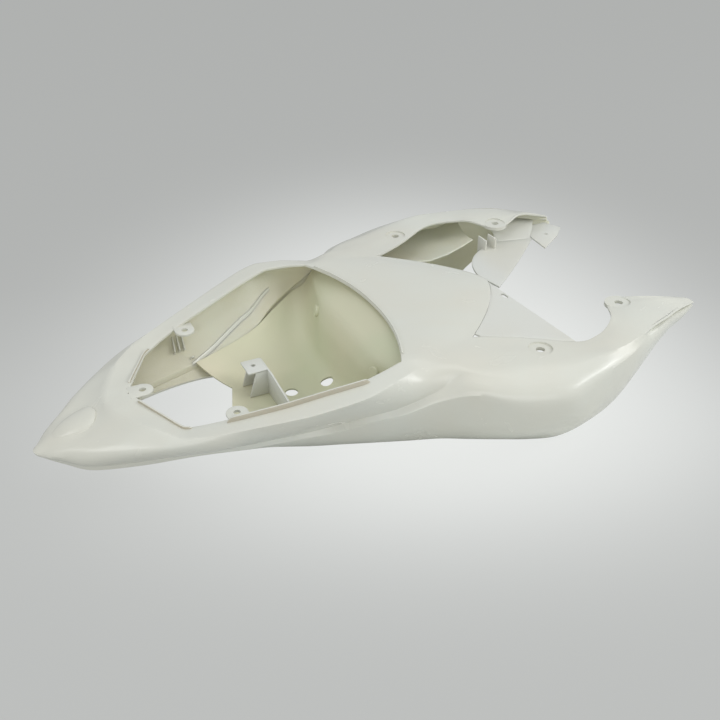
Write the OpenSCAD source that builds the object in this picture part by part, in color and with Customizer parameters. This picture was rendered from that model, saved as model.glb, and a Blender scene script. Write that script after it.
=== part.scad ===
// Rear fairing of a sports motorcycle: a pointed tail cowl with a seat opening,
// a bridge in front of the opening and two arms that sweep forward beside the seat.
// +X points to the front of the motorcycle, +Y to its left, +Z up.
// The origin is under the middle of the fairing, on the plane that its side skins stand on.

/* [Overall] */
// Length from the tail tip to the front of the arms
fairing_length = 800; // [720:5:880]
// Width over the hips, where the side skins bulge the most
hip_width = 484; // [440:2:530]
// Height of the seat deck above the tail tip
deck_height = 84; // [76:1:94]
// Depth of the side skins below the tail tip
keel_depth = 55; // [46:1:64]

/* [Moulding] */
// Wall of the cowl moulding
wall = 2.6; // [2:0.1:3.4]
// Wall of the seat tub
tub_wall = 2.2; // [1.6:0.1:3]
// Height of the raised blister on the tail
blister_height = 4; // [0:0.5:7]
// Crown of the bridge over its sides
bridge_crown = 4; // [0:0.5:10]
// Gap between pieces that seat on each other
seat_gap = 0.3; // [0.2:0.05:0.5]

/* [Fixings] */
// Diameter of the holes in the seat lugs
lug_hole = 8; // [5:0.5:10]
// Diameter of the seat lugs
lug_width = 24; // [20:1:30]
// Diameter of the sunk seats round the arm screws
dimple_width = 30; // [26:1:36]
// Depth of the sunk seats
dimple_depth = 1.4; // [0.8:0.1:1.8]
// Diameter of the holes in the sunk seats
arm_hole = 10.5; // [7:0.5:13]
// Diameter of the drain holes in the tub floor
drain_hole = 16; // [10:1:20]
// Diameter of the round bosses on the front wall of the tub
boss_width = 15; // [10:1:20]

/* [Hidden] */

// Size that the rib points below are given in
drawn_length = 800;
drawn_hip = 242;
drawn_deck = 84;
drawn_keel = 55;
// Steps between neighbouring ribs, and steps across the bridge
rib_steps = 3;
bridge_steps = 12;

// Ribs of the left half, from the middle of the tail to the front of the arm. Each runs from
// the inner edge over the flange crease, the cowl wall, the seam, the ledge under it and the
// skin to the hem. The last number is how far the rib is rounded off, from 0 to 1.
RIBS = [
    [[110, 0, 46], [82, 0, 42], [45, 0, 27], [0, 0, 1], [1, 0, -3], [4, 0, -6], [9, 0, -7], 0],
    [[117, 14, 45], [88, 22, 43], [25, 23, 12], [9, 14, 0], [10, 13, -4], [15, 10, -7], [22, 7, -8], 0],
    [[124, 28, 43], [96, 42, 43], [39, 42, 16], [28, 28, -2], [29, 26, -8], [33, 22, -11], [38, 18, -12], 0],
    [[138, 56, 40], [116, 72, 45], [67, 67, 21], [53, 49, -4], [54, 48, -10], [58, 43, -13], [63, 39, -13], 0],
    [[151, 82, 38], [143, 106, 42], [112, 97, 26], [104, 65, -4], [105, 64, -10], [108, 60, -13], [112, 56, -13], 0],
    [[173, 95, 44], [180, 125, 48], [172, 117, 25], [162, 79, -2], [163, 78, -8], [165, 73, -11], [168, 69, -12], 0],
    [[203, 108, 52], [214, 139, 55], [214, 123, 27], [212, 93, 0], [213, 93, -6], [215, 86, -12], [218, 78, -16], 0],
    [[245, 122, 62], [262, 158, 65], [260, 138, 36], [257, 106, 5], [258, 108, 0], [258, 96, -14], [261, 82, -27], 0],
    [[292, 136, 74], [302, 170, 75], [300, 148, 44], [300, 120, 13], [301, 125, 8], [298, 105, -17], [296, 80, -40], 0],
    [[331, 146, 82], [327, 173, 80], [330, 161, 55], [335, 141, 29], [336, 145, 24], [334, 118, -15], [332, 83, -48], 0],
    [[362, 140, 84], [362, 163, 82], [366, 166, 64], [372, 158, 42], [372, 164, 36], [372, 134, -13], [372, 92, -53], 0],
    [[384, 133, 84], [398, 148, 80], [402, 162, 72], [410, 168, 58], [410, 177, 50], [410, 150, -8], [410, 104, -55], 0.15],
    [[416, 131, 84], [425, 150, 82], [431, 162, 80], [439, 174, 75], [444, 198, 60], [448, 176, -2], [450, 119, -55], 0.5],
    [[450, 126, 83], [455, 146, 82], [460, 168, 79], [468, 194, 73], [474, 218, 52], [476, 200, 0], [482, 136, -55], 1],
    [[484, 120, 81], [488, 142, 80], [495, 170, 78.5], [502, 201, 74], [506, 231, 53], [508, 218, 2], [515, 153, -55], 1],
    [[515, 133, 80], [518, 152, 79], [524, 178, 79], [532, 210, 75], [537, 241, 54], [540, 227, 3], [546, 168, -55], 1],
    [[546, 150, 79], [550, 165, 79], [556, 188, 79], [562, 216, 77], [566, 237, 60], [569, 228, 4], [577, 179, -54], 0.7],
    [[590, 178, 78], [593, 188, 79], [596, 201, 80], [600, 216, 81], [604, 230, 70], [606, 220, 10], [610, 180, -50], 0.3],
    [[614, 180, 80], [618, 188, 81], [624, 200, 82], [632, 212, 81], [637, 220, 73], [640, 212, 18], [643, 181, -34], 0],
    [[636, 172, 82], [643, 181, 83], [652, 192, 83], [663, 204, 82], [666, 206, 76], [670, 206, 44], [671, 181, -8], 0],
    [[656, 156, 85], [664, 166, 85], [674, 179, 85], [690, 196, 83], [688, 192, 78], [695, 198, 62], [700, 175, 16], 0],
    [[678, 123, 82], [688, 142, 85], [700, 163, 86], [718, 187, 82], [713, 181, 77], [721, 187, 67], [726, 167, 30], 0],
    [[703, 126, 84], [714, 141, 85], [727, 156, 84], [744, 175, 78], [739, 169, 73], [746, 175, 65], [750, 160, 40], 0],
    [[738, 144, 85], [748, 149, 83], [758, 155, 80], [772, 164, 73], [768, 159, 68], [773, 164, 62], [774, 152, 43], 0],
    [[785, 146, 73], [788, 148, 72], [792, 150, 70], [797, 153, 66], [795, 151, 63], [800, 150, 59], [798, 146, 54], 0]
];
last_rib = len(RIBS) - 1;
// Places across a rib, in steps from one of its points to the next
ACROSS = [0, 0.5, 1, 1.5, 2, 2.5, 3, 4, 4.5, 5, 5.5, 6];
// Ribs where the bridge joins the sides, at the corners of the opening and of the bridge
bridge_rear_rib = 11;
bridge_front_rib = 14;
// How straight the flange runs between ribs, from 0 for a curve to 1
flange_straightness = 0.6;
// Middle of the bridge, at the opening and at its front edge
bridge_rear_x = 415;
bridge_front_x = 582;
// Blister on the tail: its middle, half length and half width
blister_x = 46;
blister_half_length = 30;
blister_half_width = 21;

// Lugs in the seat opening: middle of each hole
REAR_LUG = [127, 0, 44];
SIDE_LUG = [205, 96, 50];
lug_thickness = 3;
lug_reach = 16;
// Lips that stand up along the edge of the opening: first rib, last rib and height
LIPS = [[-9.6, -6, 6], [-4.3, -1.4, 3], [1.4, 4.3, 2.5]];
lip_wall = 2.2;
bead_height = 2.5;
bead_reach = 0.9;
// Screw seats on the arms
ARM_SEATS = [[542, 172, 78.6], [687, 134, 85]];
pad_height = 3;
pad_margin = 4;
// Cross rows of the tub from its rear edge to its front wall: rib and point across it where the
// row meets the cowl, the place of the floor corner, then how far it is set off from the cowl
tub_floor = -15;
TUB_ROWS = [
    [6, 3, 228, 40, -13, 0],
    [7, 3, 258, 44, tub_floor, 0],
    [8, 3, 300, 45, tub_floor, 0],
    [9, 3, 330, 46, tub_floor, 0],
    [9.6, 2.9, 350, 48, tub_floor, 0.3],
    [10, 2.7, 363, 52, -7, 0.6],
    [10.4, 2.3, 369, 58, 14, 3],
    [10.8, 1.8, 374, 66, 40, 7],
    [11, 1.3, 388, 76, 64, 12]
];
tub_side_steps = 6;
tub_rim_reach = 0.82;
tub_rim_drop = 7;
// How far the rear edge of the tub runs forward on the left and back on the right
rear_skew = 14;
DRAINS = [305, 353];
// Round bosses on the front wall of the tub: row and place across it
boss_row = 7;
boss_column = 5;
boss_height = 5;

// Bulkhead across the tub floor: its place, half width at the floor and its top edge
bulkhead_x = 279;
bulkhead_wall = 2.5;
bulkhead_height = 35;
bulkhead_top = [-54, 38];
bulkhead_foot = 44;
// Gussets behind the bulkhead, and the drilled tab that they carry
GUSSETS = [13, 40];
GUSSET = [14, 24];
bracket_tab = 24;
bracket_hole = 6;
// Infill panel: first and last place across the bridge edge, and first and last rib of the
// arm edge, between which it is let in
INFILL_BRIDGE = [-0.95, -0.08];
INFILL_ARM = [14.33, 16.95];
infill_steps = 8;
infill_gap = 0.6;
infill_wall = 2.2;
slot_length = 12;
slot_width = 6;
INFILL_SLOT = [577, 50];
// Brace under the left arm: its foot at the bridge, its waist and the ridge where it turns level,
// each from left to right, then the ribs and the place across them where it meets the arm
BRACE_FOOT = [[583, 14, 75], [591, -20, 74.2]];
BRACE_WAIST = [[619, 84, 66], [665, 43, 66]];
BRACE_RIDGE = [[686, 122, 60], [738, 109, 60]];
BRACE_RIBS = [20.6, 23.2];
brace_at = 4.7;
brace_wall = 2.4;
fin_height = 30;
FINS = [648, 664];
FIN_SPAN = [98, 48, 20];
// Tab of the brace at the arm tip
TAB = [[732, 74], [735, 112], [764, 146], [786, 140], [798, 122], [751, 80]];
TAB_HOLE = [764, 110, 0];
tab_height = 61;
tab_hole = 6;
// Liner inside each arm: ribs, and how high on the skin its outer edge sits
LINER_RIBS = [14.2, 15, 16, 17, 18, 19];
LINER_EDGE = [[512, 118, 66], [538, 119, 60], [572, 122, 54], [602, 124, 57], [628, 128, 62], [650, 134, 66]];
liner_at = 4.35;
liner_wall = 2;
liner_sag = 6;

function place(p) = [
    p.x * fairing_length / drawn_length,
    p.y * hip_width / 2 / drawn_hip,
    p.z > 0 ? p.z * deck_height / drawn_deck : p.z * keel_depth / drawn_keel
];
function flip(p) = [p.x, -p.y, p.z];
function mix(a, b, t) = a + (b - a) * t;
function unit(v) = v / max(norm(v), 1e-9);

// Smooth curve through four points, at t from the second to the third
function spline(a, b, c, d, t) =
    0.5 * (2 * b + (c - a) * t + (2 * a - 5 * b + 4 * c - d) * t * t + (3 * b - a - 3 * c + d) * t * t * t);
// Parabola through three points, at t from 0 to 2
function parabola(a, b, c, t) = a * (1 - t) * (2 - t) / 2 + b * t * (2 - t) + c * t * (t - 1) / 2;

function creased(r, k) =
    k <= 1 ? mix(r[0], r[1], k) :
    k <= 3 ? parabola(r[1], r[2], r[3], k - 1) :
    k <= 4 ? mix(r[3], r[4], k - 3) : parabola(r[4], r[5], r[6], k - 4);
function rounded(r, k) =
    let (n = min(floor(k), 5))
    spline(r[max(n - 1, 0)], r[n], r[n + 1], r[min(n + 2, 6)], k - n);
function rib_point(r, k) = mix(creased(r, k), rounded(r, k), r[7]);

// Point of the left side's outer face: u counts ribs from the tail, k counts points across one
function mirrored_rib_point(n, k) = n < 0 ? flip(rib_point(RIBS[-n], k)) : rib_point(RIBS[min(n, last_rib)], k);
function side_point(u, k) =
    let (
        n = min(floor(u), last_rib - 1),
        a = mirrored_rib_point(n, k),
        b = mirrored_rib_point(n + 1, k),
        curve = spline(mirrored_rib_point(n - 1, k), a, b, mirrored_rib_point(n + 2, k), u - n),
        straight = k <= 1 && u < bridge_rear_rib ? flange_straightness : 0,
        p = mix(curve, mix(a, b, u - n), straight)
    )
    place(p + [0, 0, blister(p)]);
// The blister is a teardrop with a steep edge and a flat top
function blister(p) =
    let (d = norm([(p.x - blister_x) / blister_half_length, p.y / blister_half_width]))
    p.z < 5 ? 0 : blister_height * max(0, min(1, (1.15 - d) / 0.35));

function left_or_right(u, k) = u < 0 ? flip(side_point(-u, k)) : side_point(u, k);

// Face of a sheet: the normal at a point of a grid, from its neighbours
function grid_normal(g, i, j) =
    let (
        a = g[min(i + 1, len(g) - 1)][j] - g[max(i - 1, 0)][j],
        b = g[i][min(j + 1, len(g[0]) - 1)] - g[i][max(j - 1, 0)]
    )
    unit(cross(a, b));
function grid_below(g, depth) = [for (i = [0:len(g) - 1]) [for (j = [0:len(g[0]) - 1]) g[i][j] - grid_normal(g, i, j) * depth]];

// Faces between two rows of vertex numbers, seen from the outer side
function band(a, b) = [for (j = [0:len(a) - 2]) each [[a[j], a[j + 1], b[j + 1]], [a[j], b[j + 1], b[j]]]];
function flat_list(g) = [for (row = g) each row];

// Sheet of one thickness whose outer face is a grid of points
module sheet(outer, depth) {
    rows = len(outer);
    cols = len(outer[0]);
    inner = grid_below(outer, depth);
    count = rows * cols;
    top = [for (i = [0:rows - 1]) [for (j = [0:cols - 1]) i * cols + j]];
    low = [for (i = [0:rows - 1]) [for (j = [0:cols - 1]) count + i * cols + j]];
    polyhedron(
        points = concat(flat_list(outer), flat_list(inner)),
        faces = concat(
            [for (i = [0:rows - 2]) each band(top[i], top[i + 1])],
            [for (i = [0:rows - 2]) each band(low[i + 1], low[i])],
            band(low[0], top[0]),
            band(top[rows - 1], low[rows - 1]),
            band([for (row = top) row[0]], [for (row = low) row[0]]),
            band([for (row = low) row[cols - 1]], [for (row = top) row[cols - 1]])
        ),
        convexity = 8
    );
}

// Both sides in one strip round the tail, and the bridge between them
half_cells = last_rib * rib_steps;
SIDES = [for (i = [-half_cells:half_cells]) [for (k = ACROSS) left_or_right(i / rib_steps, k)]];
SIDES_LOW = grid_below(SIDES, wall);
bridge_cells = (bridge_front_rib - bridge_rear_rib) * rib_steps;
function edge_row(q, side) = half_cells + side * (bridge_rear_rib * rib_steps + q);
function bridge_middle(q) = mix(bridge_rear_x, bridge_front_x, q / bridge_cells) * fairing_length / drawn_length;
function bridge_point(q, s, grid) =
    let (
        a = grid[edge_row(q, 1)][0],
        bow = 1 - pow(abs(s), mix(2.2, 1.5, q / bridge_cells)),
        rise = bridge_crown * sin(180 * q / bridge_cells) - 2 * q / bridge_cells
    )
    [mix(a.x, bridge_middle(q), bow), a.y * s, a.z + rise * (1 - s * s)];
module cowl_shell() {
    cols = len(ACROSS);
    rows = len(SIDES);
    count = rows * cols;
    fill = bridge_steps - 1;
    fill_count = (bridge_cells + 1) * fill;
    crossing = [for (p = [1:fill]) 2 * p / bridge_steps - 1];
    middle = [for (q = [0:bridge_cells]) each [for (s = crossing) bridge_point(q, s, SIDES)]];
    middle_low = [for (q = [0:bridge_cells]) each [for (s = crossing) bridge_point(q, s, SIDES_LOW)]];
    top = [for (i = [0:rows - 1]) [for (j = [0:cols - 1]) i * cols + j]];
    low = [for (i = [0:rows - 1]) [for (j = [0:cols - 1]) count + i * cols + j]];
    bridge_top = [for (q = [0:bridge_cells]) concat([top[edge_row(q, -1)][0]],
                  [for (p = [0:fill - 1]) 2 * count + q * fill + p], [top[edge_row(q, 1)][0]])];
    bridge_low = [for (q = [0:bridge_cells]) concat([low[edge_row(q, -1)][0]],
                  [for (p = [0:fill - 1]) 2 * count + fill_count + q * fill + p], [low[edge_row(q, 1)][0]])];
    // Stretches of the inner edge that stay open: the two arms and the seat opening
    right_arm = [0, edge_row(bridge_cells, -1)];
    opening = [edge_row(0, -1), edge_row(0, 1)];
    left_arm = [edge_row(bridge_cells, 1), rows - 1];
    polyhedron(
        points = concat(flat_list(SIDES), flat_list(SIDES_LOW), middle, middle_low),
        faces = concat(
            [for (i = [0:rows - 2]) each band(top[i], top[i + 1])],
            [for (i = [0:rows - 2]) each band(low[i + 1], low[i])],
            band(low[0], top[0]),
            band(top[rows - 1], low[rows - 1]),
            band([for (row = low) row[cols - 1]], [for (row = top) row[cols - 1]]),
            [for (span = [right_arm, opening, left_arm])
                each band([for (i = [span[0]:span[1]]) top[i][0]], [for (i = [span[0]:span[1]]) low[i][0]])],
            [for (q = [0:bridge_cells - 1]) each band(bridge_top[q], bridge_top[q + 1])],
            [for (q = [0:bridge_cells - 1]) each band(bridge_low[q + 1], bridge_low[q])],
            band(bridge_low[0], bridge_top[0]),
            band(bridge_top[bridge_cells], bridge_low[bridge_cells])
        ),
        convexity = 10
    );
}

// Point on the inner face of a side, set off by a further distance; side is 1 for left, -1 for right
function side_normal(u, k) =
    unit(cross(side_point(u + 0.1, k) - side_point(u - 0.1, k), side_point(u, k + 0.1) - side_point(u, k - 0.1)));
function inside_point(u, k, off, side = 1) =
    let (p = side_point(u, k) - side_normal(u, k) * (wall + off))
    side > 0 ? p : flip(p);

module lug(at, angle) {
    translate(place(at)) rotate([0, 0, angle]) translate([0, 0, -lug_thickness])
    linear_extrude(lug_thickness) difference() {
        union() {
            circle(d = lug_width, $fn = 48);
            translate([-lug_reach, -lug_width / 2]) square([lug_reach, lug_width]);
        }
        circle(d = lug_hole, $fn = 48);
    }
}

// Lip that stands on the edge of the opening
module lip(first, last, height) {
    count = ceil(abs(last - first) * rib_steps);
    sheet([for (n = [0:count]) let (p = left_or_right(mix(first, last, n / count), 0.04))
        [p - [0, 0, wall / 2], p + [0, 0, height]]], lip_wall);
}
module front_bead() {
    count = bridge_steps;
    sheet([for (n = [-count:count]) let (p = bridge_point(0, -bead_reach * n / count, SIDES))
        [p + [0.5, 0, -wall / 2], p + [0.5, 0, bead_height]]], lip_wall);
}

// Screw seat: a thick pad under the wall, sunk a little on top and drilled through
module pad(at) {
    translate(place(at) - [0, 0, wall + pad_height]) cylinder(d = dimple_width + pad_margin, h = wall / 2 + pad_height, $fn = 64);
}
module sunk_hole(at) {
    translate(place(at) - [0, 0, dimple_depth]) cylinder(d = dimple_width, h = dimple_depth + wall * 2, $fn = 64);
    translate(place(at) - [0, 0, wall * 4]) cylinder(d = arm_hole, h = wall * 8, $fn = 48);
}

module tail_cowl() {
    color("#e4e2da")
    difference() {
        union() {
            cowl_shell();
            lug(REAR_LUG, 0);
            for (side = [-1, 1]) lug([SIDE_LUG.x, SIDE_LUG.y * side, SIDE_LUG.z], -90 * side);
            for (l = LIPS) lip(l[0], l[1], l[2]);
            front_bead();
            for (side = [-1, 1], at = ARM_SEATS) pad([at.x, at.y * side, at.z]);
        }
        for (side = [-1, 1], at = ARM_SEATS) sunk_hole([at.x, at.y * side, at.z]);
        for (at = [REAR_LUG, SIDE_LUG, flip(SIDE_LUG)])
            translate(place(at) - [0, 0, lug_thickness * 2]) cylinder(d = lug_hole, h = lug_thickness * 4, $fn = 48);
    }
}

// Half of a cross row of the tub: from its edge on the cowl wall round the corner to the floor
function bent(a, b, c, t) = a * (1 - t) * (1 - t) + b * 2 * t * (1 - t) + c * t * t;
function tub_half(row) =
    let (
        edge = inside_point(row[0], row[1], tub_wall + seat_gap + row[5]),
        corner = place([row[2], row[3], row[4]]),
        knee = [mix(edge.x, corner.x, 0.5), mix(edge.y, corner.y, 0.4), mix(edge.z, corner.z, 0.9)]
    )
    [for (n = [0:tub_side_steps]) bent(edge, knee, corner, n / tub_side_steps)];
function whole_row(half) = concat(
    [for (p = half) flip(p)],
    [[half[len(half) - 1].x, 0, half[len(half) - 1].z]],
    [for (n = [len(half) - 1:-1:0]) half[n]]
);
function tub_rim() =
    let (count = 2 * tub_side_steps + 2)
    [for (n = [0:count]) let (s = (2 * n / count - 1) * tub_rim_reach)
        bridge_point(1, s, SIDES_LOW) - [0, 0, seat_gap + tub_rim_drop * pow(s, 4)]];
function skewed(p, edge) =
    let (y = abs(p.y), corner = TUB_ROWS[0][3] * hip_width / 2 / drawn_hip)
    p + [rear_skew * sign(p.y) * min(y / corner, (edge - y) / (edge - corner)), 0, 0];
tub_rear = whole_row(tub_half(TUB_ROWS[0]));
tub_grid = concat(
    [[for (p = tub_rear) skewed(p, abs(tub_rear[0].y))]],
    [for (n = [1:len(TUB_ROWS) - 1]) whole_row(tub_half(TUB_ROWS[n]))],
    [tub_rim()]
);

// Turns +Z to a direction
module facing(v) {
    rotate([0, acos(v.z / norm(v)), atan2(v.y, v.x)]) children();
}
module seat_tub() {
    color("#d9d8cb")
    difference() {
        union() {
            sheet(tub_grid, tub_wall);
            for (c = [boss_column, len(tub_grid[0]) - 1 - boss_column])
                translate(tub_grid[boss_row][c]) facing(grid_normal(tub_grid, boss_row, c))
                translate([0, 0, -tub_wall / 2]) cylinder(d = boss_width, h = boss_height, $fn = 48);
        }
        for (x = DRAINS)
            translate(place([x, 0, tub_floor]) - [0, 0, 10]) cylinder(d = drain_hole, h = 20, $fn = 48);
    }
}

// Panel across the tub that shuts off its rear end, with two gussets and a drilled tab
module tub_bulkhead() {
    floor_z = tub_floor * keel_depth / drawn_keel + seat_gap;
    wide = hip_width / 2 / drawn_hip;
    right = bulkhead_top[0] * wide;
    left = bulkhead_top[1] * wide;
    foot = bulkhead_foot * wide;
    color("#dedccf") translate([bulkhead_x * fairing_length / drawn_length, 0, floor_z]) {
        rotate([90, 0, 90]) linear_extrude(bulkhead_wall)
        polygon([[-foot, 0], [left, 0], [left, bulkhead_height], [0, bulkhead_height],
                 [right, bulkhead_height * 0.8], [right, bulkhead_height * 0.3]]);
        for (y = GUSSETS)
            translate([0, y * wide, 0]) rotate([90, 0, 0]) linear_extrude(bulkhead_wall)
            polygon([[0.5, 0], [0.5, bulkhead_height - 1], [-GUSSET[0], bulkhead_height - 1], [-GUSSET[1], 0]]);
        translate([0, 0, bulkhead_height - bulkhead_wall]) linear_extrude(bulkhead_wall) difference() {
            translate([-bracket_tab, GUSSETS[0] * wide - bulkhead_wall])
            square([bracket_tab + 1, (GUSSETS[1] - GUSSETS[0]) * wide + bulkhead_wall]);
            translate([-bracket_tab / 2, (GUSSETS[0] + GUSSETS[1]) / 2 * wide]) circle(d = bracket_hole, $fn = 32);
        }
    }
}

// Plate that closes the right side between the bridge and the arm, level with both
module infill_panel() {
    grid = [for (n = [0:infill_steps])
        let (
            t = n / infill_steps,
            a = left_or_right(-mix(INFILL_ARM[0], INFILL_ARM[1], t), 0) + infill_gap * unit([5, 9, 0]),
            b = bridge_point(bridge_cells, mix(INFILL_BRIDGE[0], INFILL_BRIDGE[1], t), SIDES) + infill_gap * unit([9, -5, 0])
        )
        [for (w = [0:0.125:1]) mix(a, b, w)]];
    color("#e2e0d8") difference() {
        sheet(grid, infill_wall);
        translate(place([INFILL_SLOT.x, -INFILL_SLOT.y, drawn_deck]) - [0, 0, 20]) linear_extrude(25)
        for (side = [-1, 1]) {
            translate([0, side * (slot_length - slot_width) / 2]) circle(d = slot_width, $fn = 32);
            square([slot_width, slot_length - slot_width], center = true);
        }
    }
}

// Brace from the left arm to the bridge, with two fins and a drilled tab at the arm tip
module arm_brace() {
    tab_level = place([0, 0, tab_height]).z;
    foot = [for (p = BRACE_FOOT) place(p)];
    waist = [for (p = BRACE_WAIST) place(p)];
    ridge = [for (p = BRACE_RIDGE) place(p)];
    across = [0:0.2:1];
    color("#e6e6e0") {
        sheet([for (t = across) [for (w = [0:0.25:2])
            parabola(mix(foot[0], foot[1], t), mix(waist[0], waist[1], t), mix(ridge[0], ridge[1], t), w)]],
            brace_wall);
        sheet([for (t = across)
            let (a = mix(mix(ridge[0], ridge[1], t), waist[0], 0.03) - [0, 0, brace_wall / 4],
                 b = inside_point(mix(BRACE_RIBS[0], BRACE_RIBS[1], t), brace_at, seat_gap + brace_wall * 0.5))
            [for (w = [0:0.5:1]) mix(a, b, w)]], brace_wall);
        difference() {
            translate([0, 0, tab_level - brace_wall]) linear_extrude(brace_wall)
            polygon([for (p = TAB) [place([p.x, p.y, 0]).x, place([p.x, p.y, 0]).y]]);
            translate([place(TAB_HOLE).x, place(TAB_HOLE).y, tab_level - 10]) cylinder(d = tab_hole, h = 20, $fn = 32);
        }
        for (x = FINS)
            translate(place([x, FIN_SPAN[0], FIN_SPAN[1]]))
            cube([brace_wall, FIN_SPAN[2], fin_height]);
    }
}

// Liner inside the left arm, from the skin to the open edge below the bridge
module arm_liner() {
    grid = [for (n = [0:len(LINER_RIBS) - 1])
        let (a = inside_point(LINER_RIBS[n], liner_at, seat_gap + liner_wall * 0.4), b = place(LINER_EDGE[n]))
        [for (t = [0:0.2:1]) mix(b, a, t) - [0, 0, liner_sag * sin(180 * t)]]];
    color("#dadacd") sheet(grid, liner_wall);
}

module in_place() {
    translate([-fairing_length / 2, 0, keel_depth]) children();
}

in_place() tail_cowl();
in_place() seat_tub();
in_place() tub_bulkhead();
in_place() infill_panel();
in_place() arm_brace();
in_place() arm_liner();
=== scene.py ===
import math

import bmesh
import bpy
import numpy as np
from mathutils import Matrix, Vector
from mathutils.bvhtree import BVHTree


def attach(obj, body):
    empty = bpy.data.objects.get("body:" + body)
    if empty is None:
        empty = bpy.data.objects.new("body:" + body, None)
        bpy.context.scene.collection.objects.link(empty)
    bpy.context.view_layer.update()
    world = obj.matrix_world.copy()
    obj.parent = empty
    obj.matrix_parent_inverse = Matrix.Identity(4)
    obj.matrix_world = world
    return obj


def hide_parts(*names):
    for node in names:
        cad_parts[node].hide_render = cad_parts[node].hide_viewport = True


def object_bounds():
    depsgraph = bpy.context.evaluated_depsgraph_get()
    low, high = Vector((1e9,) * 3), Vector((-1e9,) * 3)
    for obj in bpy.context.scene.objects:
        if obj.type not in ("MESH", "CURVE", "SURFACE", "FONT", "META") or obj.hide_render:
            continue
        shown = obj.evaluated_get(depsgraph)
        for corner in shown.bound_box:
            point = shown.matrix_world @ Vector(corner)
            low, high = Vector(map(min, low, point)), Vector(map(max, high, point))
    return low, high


# Looks of a motorcycle's rear fairing: smooth mouldings in place of the faceted solids,
# unpainted ivory plastic, a pale floor and soft studio light.
# Shapes are worked out in millimetres from the tail tip, as in the part's source:
# +X towards the front, +Y to the left, +Z up. to_row() turns them into the frame's metres.

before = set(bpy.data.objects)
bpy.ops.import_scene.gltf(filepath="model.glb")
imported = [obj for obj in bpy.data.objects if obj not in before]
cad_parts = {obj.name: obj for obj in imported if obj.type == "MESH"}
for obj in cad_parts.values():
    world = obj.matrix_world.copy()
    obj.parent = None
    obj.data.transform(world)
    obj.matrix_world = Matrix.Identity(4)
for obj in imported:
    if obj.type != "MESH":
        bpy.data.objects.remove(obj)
cad_low, cad_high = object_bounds()

MM = 0.001
KEEL_DEPTH = 55
TAIL_TIP = Vector((cad_low[0], 0, KEEL_DEPTH * MM))


def to_row(p):
    return TAIL_TIP + Vector((p[0], p[1], p[2])) * MM


# Shape of the cowl

WALL = 2.6
TUB_WALL = 2.2
SEAT_GAP = 0.3
BRIDGE_CROWN = 4
RIB_STEPS = 9
BRIDGE_STEPS = 36
FLANGE_STRAIGHTNESS = 0.6
BRIDGE_REAR_RIB = 11
BRIDGE_FRONT_RIB = 14
BRIDGE_REAR_X = 415
BRIDGE_FRONT_X = 582
BRIDGE_BOW = [2.2, 1.5]
BRIDGE_DROP = 2
SLOPE_STEP = 0.1

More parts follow.
